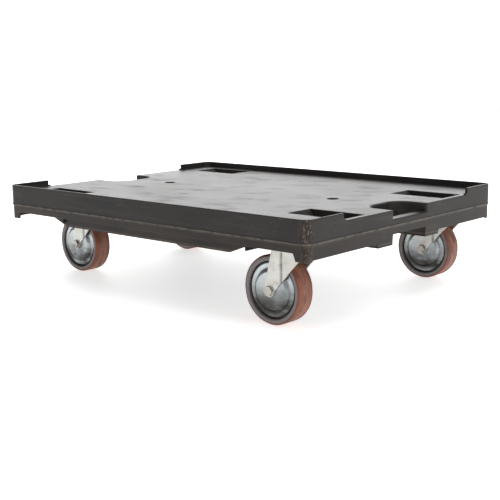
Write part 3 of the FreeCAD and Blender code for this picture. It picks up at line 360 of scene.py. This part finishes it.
def makeFork(name, pivot):
    # pressed fork: each leg is a strip whose path across the castor is leg, quarter circle, crown. At every
    # height the strip reaches from the rear edge to the front edge. In front of the fold line it is set in by
    # deep / (1 + exp(-distance / width)), and the line itself is a groove, deep * exp(-(distance / width)^2)
    s = forkSizes
    bend, skin = s["bend"], s["skin"] / 2
    turn = np.linspace(0, np.pi / 2, 9)[1:]
    # heights are closer together round the eye of the axle, where the edges are a circle
    legZ = np.concatenate([s["axle"] - s["eye"] * np.cos(np.linspace(0.1, np.pi / 2, 14)),
                           np.linspace(s["axle"], s["top"] - bend, 30)[1:]])
    path = np.concatenate([
        np.stack([np.full(len(legZ), s["middle"]), legZ], 1),
        np.stack([s["middle"] - bend + bend * np.cos(turn), s["top"] - bend + bend * np.sin(turn)], 1),
        np.stack([np.linspace(s["middle"] - bend, s["crownIn"], 4)[1:], np.full(3, s["top"])], 1)])
    lean = np.concatenate([np.zeros(len(legZ)), turn, np.full(3, np.pi / 2)])[:, None]
    y, z = path[:, :1], path[:, 1:]
    rise = z - s["axle"]
    eye = np.sqrt(np.maximum(s["eye"] ** 2 - np.minimum(rise, 0) ** 2, 0))
    heights = [0, s["wing"][0], s["shoulder"][0], s["top"] - s["axle"]]
    reaches = [s["eye"], s["wing"][1], s["shoulder"][1], s["crownFront"]]
    front = np.where(rise < 0, eye, np.interp(rise, heights, reaches))
    rear = np.where(rise < 0, -eye, np.interp(rise, [0, heights[-1]], [-s["eye"], s["crownRear"]]))
    along = rear + (front - rear) * np.linspace(0, 1, 61)[None, :]
    fade = np.clip((s["top"] - bend - z) / 8, 0, 1)
    distance = along - s["foldAt"]
    step = s["foldDeep"] / (1 + np.exp(-distance / (s["foldWidth"] / 3)))
    step = (step + s["groove"] * np.exp(-(distance / s["foldWidth"]) ** 2)) * fade
    # painted shade in the groove, and darker towards the lower end of the leg, kept in the dirt attribute
    dirt = np.exp(-(distance / s["foldWidth"]) ** 2) * fade + 0.25 * np.clip(-rise / s["eye"], 0, 1)
    dirt = np.concatenate([dirt, dirt[:, ::-1]], 1).ravel()
    shells = []
    for side in (1, -1):
        faces = [np.stack([along - s["trail"] + pivot[0] * metre,
                           side * (y - step + offset * np.cos(lean)) + pivot[1] * metre,
                           z + offset * np.sin(lean) + 0 * along], -1) / metre for offset in (skin, -skin)]
        shells.append(closedSheet(*faces))
    c = crownSizes
    outline = roundedOutline([(c["hole"], c["low"]), (c["reach"], c["low"]), (c["reach"], c["lip"]),
                              (c["reach"] - c["skin"], c["lip"]), (c["reach"] - c["skin"], c["high"]),
                              (c["hole"], c["high"])], [0.3, c["round"], 0.6, 0.6, c["round"], 0.3])
    angle = np.linspace(0, 2 * np.pi, 96, endpoint=False)[None, :]
    reach, height = outline[:, :1], outline[:, 1:] + 0 * angle
    crown = np.stack([reach * np.cos(angle), reach * np.sin(angle), height], -1) / metre
    crown = crown + np.array([*pivot, 0])
    shells.append((crown.reshape(-1, 3), ringFaces(*height.shape)))
    return meshPiece(name, shells, {"dirt": np.concatenate([dirt, dirt, np.zeros(height.size)])})


# The rubbed corners begin and end at these distances from the middle, in millimetres
cornerBand = {"x": (382, 399), "y": (282, 299)}
deckLook = {
    "black": "#282625", "grey": "#322f2e", "worn": "#6d6862", "pale": "#8f8479", "dust": "#57534e",
    "brown": "#5a4a3e",
    "roughness": 0.41, "dustAmount": 0.36, "scuffAmount": 0.55,
    # bead and lowEdge: heights in millimetres and amount of the pale lines painted along these edges as
    # highlights
    "bead": (158.2, 160.4, 0.75), "lowEdge": (157.0, 157.5, 0.0),
    "smears": 0.25,
}
baseLook = {
    "black": "#272321", "grey": "#342e2a", "worn": "#6b6158", "pale": "#84796c", "dust": "#4f453d",
    "brown": "#5c4c40",
    "roughness": 0.42, "dustAmount": 0.4, "scuffAmount": 0.45,
    # bead and lowEdge: heights in millimetres and amount of the pale lines painted along these edges as
    # highlights
    "bead": (155.2, 157.6, 0.35), "lowEdge": (127.5, 129.6, 0.4),
    "smears": 0.35,
}


def blackPolyethylene(name, look):
    # injection-moulded black polyethylene: satin, faintly mottled, paler where it rubs, scratched and dusty,
    # with painted highlights along its edges
    material = newMaterial(name)
    tree = material.node_tree
    place = addNode(tree, "TexCoord").outputs["Object"]
    axes = addNode(tree, "SeparateXYZ", {0: place})
    facing = addNode(tree, "SeparateXYZ", {0: addNode(tree, "NewGeometry").outputs["Normal"]})
    upward = addNode(tree, "MapRange", {0: facing.outputs[2], 1: 0.8, 2: 0.98},
                     interpolation_type="SMOOTHSTEP")
    sideways = addNode(tree, "Math", {0: 1.0, 1: upward}, operation="SUBTRACT")
    ends = []
    for k, (start, end) in enumerate(cornerBand.values()):
        reach = addNode(tree, "Math", {0: axes.outputs[k]}, operation="ABSOLUTE")
        ends.append(addNode(tree, "MapRange", {0: reach, 1: start / metre, 2: end / metre},
                            interpolation_type="SMOOTHSTEP"))
    corner = product(tree, *ends)

    # the moulding cooled unevenly: broad clouds, a shade greyer
    mottle = blotches(tree, place, (190, 150, 90), 0.35, 0.7, 4)
    smears = product(tree, blotches(tree, place, (240, 240, 11), 0.5, 0.75, 3), sideways, look["smears"])
    dust = product(tree, upward, blotches(tree, place, (230, 130, 100), 0.32, 0.72, 5), look["dustAmount"])
    trodden = product(tree, upward, blotches(tree, place, (70, 40, 60), 0.5, 0.76, 5, 24), 0.6)
    # a few pale knocks on the sides
    specks = product(tree, blotches(tree, place, (3.4, 3.4, 3.4), 0.775, 0.79, 1), sideways, 0.55)
    # scratches: long thin streaks in three directions, broken up by a coarser noise
    streaks = [blotches(tree, place, (300, 1.6, 30), 0.64, 0.68, 1, turn) for turn in (8, 71, 128)]
    patches = blotches(tree, place, (110, 80, 80), 0.5, 0.6, 2)
    scratches = product(tree, total(tree, *streaks), patches, upward, 0.22)
    # on the sides the scratches run level, at the height of crates and door frames
    rubs = product(tree, blotches(tree, place, (110, 110, 0.9), 0.64, 0.69, 1),
                   blotches(tree, place, (90, 90, 40), 0.52, 0.62, 2), sideways, 0.3)
    # corners: brown rubbed skin with paler nicks in it
    rubbed = product(tree, corner, blotches(tree, place, (7, 7, 22), 0.4, 0.62, 4), look["scuffAmount"])
    nicks = product(tree, corner, blotches(tree, place, (2.2, 2.2, 5), 0.62, 0.7, 1), 0.6)
    # painted highlights: pale lines along the bead and the lower edge of the sides, in the worn colour
    paintedEdgeHighlights = []
    for low, high, amount in (look["bead"], look["lowEdge"]):
        band = between(tree, axes.outputs[2], low / metre, high / metre, 0.0005)
        broken = blotches(tree, place, (16, 16, 16), 0.25, 0.6, 3)
        paintedEdgeHighlights.append(product(tree, band, broken, sideways, amount))

    color = layered(tree, hexColor(look["black"]),
                    [(mottle, look["grey"]), (smears, look["dust"]), (dust, look["dust"]),
                     (trodden, look["black"]), (scratches, look["worn"]), (rubs, look["worn"]),
                     (rubbed, look["brown"]), (total(tree, *paintedEdgeHighlights), look["worn"]),
                     (total(tree, nicks, specks), look["pale"])])
    matt = total(tree, product(tree, dust, 0.8), trodden, rubbed)
    roughness = addNode(tree, "MapRange", {0: matt, 3: look["roughness"], 4: look["roughness"] + 0.2})
    # moulding grain is about 0.6 mm; drawn at 2 mm so that it still shows
    grain = blotches(tree, place, (2, 2, 2), 0.3, 0.7, 2)
    height = addNode(tree, "Math", {0: grain, 1: total(tree, rubs, scratches)}, operation="SUBTRACT")
    finishSurface(tree, color, roughness, height, 0.028, Specular_IOR_Level=0.2, IOR=1.54)
    return material


# Darkening between these two heights, more the lower, in millimetres above the floor: oily dirt on the fork
# and screws, painted shade on the guards
grimeAndPaintedShadeHeights = (88, 36)
zincLooks = {
    "forkZinc": {"metal": "#d6d6d1", "dull": "#c2c0b8", "stain": "#6d665c", "bloom": "#e6e3dc",
                 "roughness": 0.36, "stainAmount": 0.25, "grimeAndPaintedShade": 0.1, "drawn": (60, 60, 9)},
    "plateZinc": {"metal": "#bdb9b0", "dull": "#958f84", "stain": "#5f564b", "bloom": "#d8d4cb",
                  "roughness": 0.42, "stainAmount": 0.5, "grimeAndPaintedShade": 0.0, "drawn": (80, 6, 6)},
    "screwZinc": {"metal": "#c4c1ba", "dull": "#98938a", "stain": "#4f473e", "bloom": "#dedad2",
                  "roughness": 0.34, "stainAmount": 0.5, "grimeAndPaintedShade": 0.1, "drawn": (4, 4, 4)},
    # the guards darken strongly towards the bottom: painted shade that stands in for a dark reflection
    "guardZinc": {"metal": "#c6cccd", "dull": "#a6acad", "stain": "#3d3b39", "bloom": "#d5dadb",
                  "roughness": 0.25, "stainAmount": 0.15, "grimeAndPaintedShade": 0.95, "drawn": (30, 30, 2.4)},
}


def zincPlatedSteel(name, look):
    # pressed steel, zinc plated and passivated: bright grey, softly cloudy, with drawn lines and white bloom,
    # and oily dirt low down; painted shade darkens its creases and the lower half of the guards
    material = newMaterial(name)
    tree = material.node_tree
    place = addNode(tree, "TexCoord").outputs["Object"]
    height = addNode(tree, "SeparateXYZ", {0: place}).outputs[2]
    creaseShadeMask = addNode(tree, "Attribute", attribute_name="dirt").outputs["Fac"]
    cloud = blotches(tree, place, (45, 45, 60), 0.3, 0.75, 2)
    drawn = blotches(tree, place, look["drawn"], 0.35, 0.7, 2)
    low = addNode(tree, "MapRange", {0: height, 1: grimeAndPaintedShadeHeights[0] / metre, 2: grimeAndPaintedShadeHeights[1] / metre},
                  interpolation_type="SMOOTHSTEP")
    # darker towards the bottom: painted shade on the guards, oily dirt on the other parts
    grimeAndPaintedShade = product(tree, low, blotches(tree, place, (60, 60, 25), 0.1, 0.65, 2), look["grimeAndPaintedShade"])
    stain = product(tree, blotches(tree, place, (22, 22, 18), 0.5, 0.72, 4), look["stainAmount"])
    bloom = product(tree, blotches(tree, place, (5, 5, 5), 0.66, 0.78, 3), 0.4)
    # painted shade in the creases that the dirt attribute marks, and the fork darker at the lower end of its
    # legs
    paintedCreaseShade = product(tree, creaseShadeMask, blotches(tree, place, (12, 12, 12), 0.1, 0.5, 2), 0.85)
    # the stain colour paints real stains, oily dirt and the painted shade alike
    color = layered(tree, hexColor(look["metal"]),
                    [(product(tree, cloud, 0.6), look["dull"]), (product(tree, drawn, 0.3), look["dull"]),
                     (bloom, look["bloom"]), (total(tree, stain, grimeAndPaintedShade, paintedCreaseShade), look["stain"])])
    roughness = addNode(tree, "MapRange", {0: total(tree, stain, bloom, product(tree, cloud, 0.3)),
                                           3: look["roughness"], 4: look["roughness"] + 0.3})
    relief = addNode(tree, "Math", {0: drawn, 1: bloom}, operation="ADD")
    finishSurface(tree, color, roughness, relief, 0.008, Metallic=0.9)
    return material


tyreLook = {"red": "#6d4035", "orange": "#a05635", "brown": "#40302a", "grey": "#7b7878",
            "beige": "#8f7563",
            "roughness": 0.44,
            # distances from the axle, and from the middle of the tread, in millimetres
            "side": (51, 57.8), "tread": (59.5, 61.5), "rolled": (5, 15)}


def castPolyurethane(name, look):
    # cast polyurethane tyre: dense, waxy red-brown; polished grey-brown side, tread scuffed and dusty
    material = newMaterial(name)
    tree = material.node_tree
    place = addNode(tree, "TexCoord").outputs["Object"]
    reach = addNode(tree, "Attribute", attribute_name="reach").outputs["Fac"]
    side = between(tree, reach, *look["side"], 1.2)
    tread = addNode(tree, "MapRange", {0: reach, 1: look["tread"][0], 2: look["tread"][1]},
                    interpolation_type="SMOOTHSTEP")
    # the middle of the tread runs on the floor and picks up its dust
    across = addNode(tree, "Attribute", attribute_name="across").outputs["Fac"]
    distance = addNode(tree, "Math", {0: across}, operation="ABSOLUTE")
    rolled = addNode(tree, "MapRange", {0: distance, 1: look["rolled"][1], 2: look["rolled"][0]},
                     interpolation_type="SMOOTHSTEP")
    cloud = blotches(tree, place, (22, 22, 22), 0.4, 0.65, 4)
    worn = blotches(tree, place, (40, 15, 40), 0.3, 0.62, 3)
    dirt = blotches(tree, place, (46, 12, 46), 0.5, 0.78, 3)
    grit = blotches(tree, place, (2.2, 2.2, 2.2), 0.5, 0.7, 2)
    color = layered(tree, hexColor(look["red"]),
                    [(product(tree, cloud, 0.5), look["brown"]),
                     (product(tree, tread, worn, 0.75), look["orange"]),
                     (product(tree, tread, dirt, 0.6), look["brown"]),
                     (product(tree, rolled, worn, 0.45), look["beige"]),
                     (product(tree, side, 0.85), look["grey"]),
                     (product(tree, tread, grit, 0.2), look["beige"])])
    matt = total(tree, product(tree, tread, 0.6), product(tree, dirt, 0.4))
    roughness = addNode(tree, "MapRange", {0: matt, 3: look["roughness"], 4: look["roughness"] + 0.25})
    finishSurface(tree, color, roughness, grit, 0.05, IOR=1.5)
    return material


nylonLook = {"black": "#0c0c0c", "dust": "#3a3733", "dustAmount": 0.25, "clean": 0.42, "dusty": 0.6}


def filledNylon(name, look):
    # injection-moulded black nylon: deep black, half gloss, with a film of dust
    material = newMaterial(name)
    tree = material.node_tree
    place = addNode(tree, "TexCoord").outputs["Object"]
    film = blotches(tree, place, (18, 18, 18), 0.45, 0.7, 4)
    grain = blotches(tree, place, (1.6, 1.6, 1.6), 0.3, 0.7, 2)
    dust = product(tree, film, look["dustAmount"])
    color = layered(tree, hexColor(look["black"]), [(dust, look["dust"])])
    roughness = addNode(tree, "MapRange", {0: film, 3: look["clean"], 4: look["dusty"]})
    finishSurface(tree, color, roughness, grain, 0.03, IOR=1.53)
    return material


def turnedMetal(name, metal, shade, roughness, pitch):
    # metal turned or ground in a lathe: clean, with fine rings a tenth of a millimetre apart,
    # drawn at the pitch given so that they still show
    material = newMaterial(name)
    tree = material.node_tree
    place = addNode(tree, "TexCoord").outputs["Object"]
    rings = blotches(tree, place, (40, 40, pitch), 0.35, 0.7, 2)
    film = blotches(tree, place, (7, 7, 7), 0.4, 0.7, 3)
    color = layered(tree, hexColor(metal), [(product(tree, film, 0.5), shade)])
    rough = addNode(tree, "MapRange", {0: total(tree, product(tree, film, 0.5), product(tree, rings, 0.4)),
                                       3: roughness, 4: roughness + 0.2})
    finishSurface(tree, color, rough, rings, 0.01, Metallic=1.0)
    return material


def dress(thing, material):
    thing.data.materials.clear()
    thing.data.materials.append(material)


makeCamera()
makeStudio()
print("camera, floor and lights are in place")

deckPlastic = blackPolyethylene("moulded black polyethylene, deck", deckLook)
basePlastic = blackPolyethylene("moulded black polyethylene, base", baseLook)
zincs = {name: zincPlatedSteel(name, look) for name, look in zincLooks.items()}
tyreMaterial = castPolyurethane("cast polyurethane", tyreLook)
coreMaterial = filledNylon("moulded black nylon", nylonLook)
pinSteel = turnedMetal("turned steel", "#a9a8a6", "#5d5852", 0.3, 0.8)
bearingSteel = turnedMetal("ground bearing steel", "#c2c3c6", "#7a756c", 0.16, 1.2)
insertBrass = turnedMetal("turned brass", "#c59a4a", "#7d6230", 0.3, 0.8)

dress(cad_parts["deck_shell"], deckPlastic)
dress(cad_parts["base_shell"], basePlastic)
dress(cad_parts["threaded_inserts"], insertBrass)
dress(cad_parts["plate_screws"], zincs["screwZinc"])
castorFinish = {
    "top_plate": zincs["plateZinc"], "kingpin": pinSteel, "race_cup": zincs["forkZinc"],
    "balls": bearingSteel, "fork": zincs["forkZinc"], "axle_bolt": zincs["screwZinc"],
    "axle_nut": zincs["screwZinc"], "axle_sleeve": pinSteel, "roller_bearing": bearingSteel,
}
for castor in castorNames:
    for node, material in castorFinish.items():
        dress(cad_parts[f"{castor}_{node}"], material)
print("the packed nodes have their materials")

for castor in castorNames:
    low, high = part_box(f"{castor}_tyre")
    centre = [(low[k] + high[k]) / 2 for k in range(3)]
    pivot = (centre[0] + forkSizes["trail"] / metre, centre[1])
    wheelPieces = {
        "fork": (makeFork(f"{castor}_pressed_fork", pivot), zincs["forkZinc"], "swivel", "fork_zinc"),
        "tyre": (makeTyre(f"{castor}_cast_tyre", centre), tyreMaterial, "wheel", "tyre_rubber"),
        "wheel_core": (makeCore(f"{castor}_ribbed_core", centre), coreMaterial, "wheel", "core_plastic"),
        "left_guard": (makeGuard(f"{castor}_left_pressed_guard", centre, 1), zincs["guardZinc"], "swivel",
                       "guard_zinc"),
        "right_guard": (makeGuard(f"{castor}_right_pressed_guard", centre, -1), zincs["guardZinc"], "swivel",
                        "guard_zinc"),
    }
    for node, (piece, material, body, slotName) in wheelPieces.items():
        dress(piece, material)
        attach(piece, f"{castor}_{body}")
        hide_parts(f"{castor}_{node}")
print("forks, tyres, cores and guards are made")
